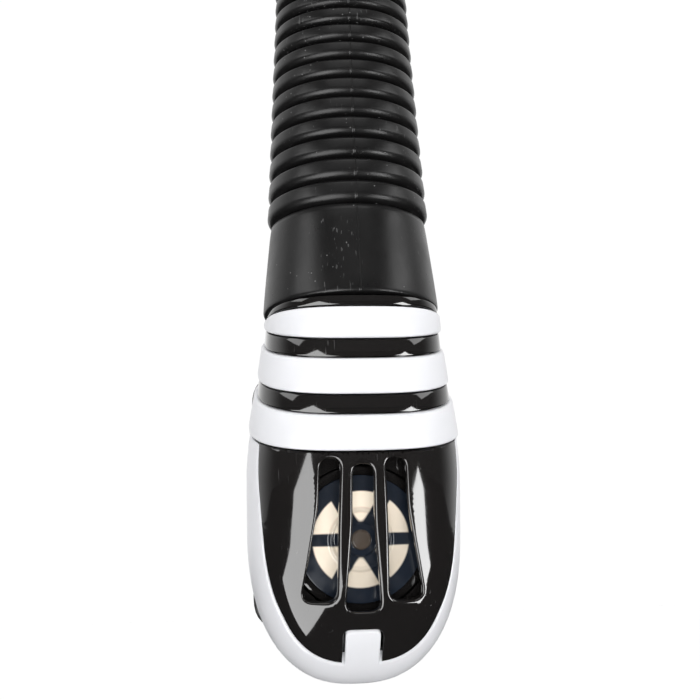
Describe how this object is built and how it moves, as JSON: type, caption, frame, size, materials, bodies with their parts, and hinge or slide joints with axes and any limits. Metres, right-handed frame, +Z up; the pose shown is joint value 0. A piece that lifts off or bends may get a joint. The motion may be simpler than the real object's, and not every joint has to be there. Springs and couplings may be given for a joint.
{
  "type": "dry-top snorkel",
  "caption": "Dry-top snorkel: rigid tube with float valve and strap clip, corrugated hose, slotted purge chamber with flap valve, swivelling mouthpiece.",
  "frame": {"origin": "centre of the outer face of the strap buckle on the mask clip, the flat pad that lies towards the wearer's head", "axes": "+Z up along the rigid tube, +Y out of the pad towards the wearer, +X to the wearer's left when seen from the purge valve side"},
  "size_m": [0.0432, 0.1057, 0.4574],
  "materials": {
    "black_rubber": "satin, finely dusted",
    "gloss_black": "polished",
    "matte_black": "fine spark texture",
    "white_plastic": "semi gloss",
    "smoke_silicone": "smooth, translucent",
    "black_silicone": "soft satin"
  },
  "bodies": {
    "strap_clip": {"strap_buckle": "matte_black"},
    "release_button": {"release_button": "white_plastic"},
    "clip_collar": {"clip_collar": "matte_black", "swivel_pin": "matte_black"},
    "upper": {"upper_tube": "matte_black", "hose_ring": "white_plastic", "corrugated_hose": "black_rubber", "dry_top_base": "gloss_black", "port_seat": "black_silicone", "splash_cap": "white_plastic"},
    "float": {"float": "white_plastic", "float_seal": "black_silicone"},
    "chamber": {"chamber_body": "gloss_black", "lower_band": "white_plastic", "middle_band": "white_plastic", "upper_band": "white_plastic", "rear_shell": "white_plastic", "purge_cover": "gloss_black", "purge_valve_seat": "gloss_black"},
    "purge_flap": {"purge_valve_disc": "smoke_silicone"},
    "mouthpiece": {"mouthpiece_spigot": "matte_black", "swivel_seal": "black_silicone", "swivel_snap_ring": "matte_black", "mouthpiece": "black_silicone", "mouthpiece_tie": "matte_black"}
  },
  "joints": [
    {"name": "release_press", "type": "slide", "parent": "strap_clip", "child": "release_button", "axis": [0, 0, 1], "range_m": [0, 0.0015], "stiffness_N_per_m": 400, "springref_m": -0.0005},
    {"name": "clip_swivel", "type": "hinge", "parent": "strap_clip", "child": "clip_collar", "pos_m": [0, -0.0095, 0], "axis": [0, 1, 0], "range_deg": [-60, 60]},
    {"name": "tube_slide", "type": "slide", "parent": "clip_collar", "child": "upper", "axis": [0, 0, 1], "range_m": [-0.06, 0.06]},
    {"name": "float_rise", "type": "slide", "parent": "upper", "child": "float", "axis": [0, 0, 1], "range_m": [0, 0.007]},
    {"name": "hose_bend", "type": "hinge", "parent": "upper", "child": "chamber", "pos_m": [0, -0.0312, -0.1911], "axis": [1, 0, 0], "range_deg": [-10, 40], "stiffness_Nm_per_rad": 0.8, "deforming": ["corrugated_hose"]},
    {"name": "purge_lift", "type": "slide", "parent": "chamber", "child": "purge_flap", "axis": [0, -0.9945, -0.1045], "range_m": [0, 0.001], "stiffness_N_per_m": 60, "springref_m": -0.0002},
    {"name": "mouthpiece_swivel", "type": "hinge", "parent": "chamber", "child": "mouthpiece", "pos_m": [0, -0.0327, -0.29185], "axis": [0, 0.9945, 0.1045], "range_deg": [-90, 90]}
  ]
}
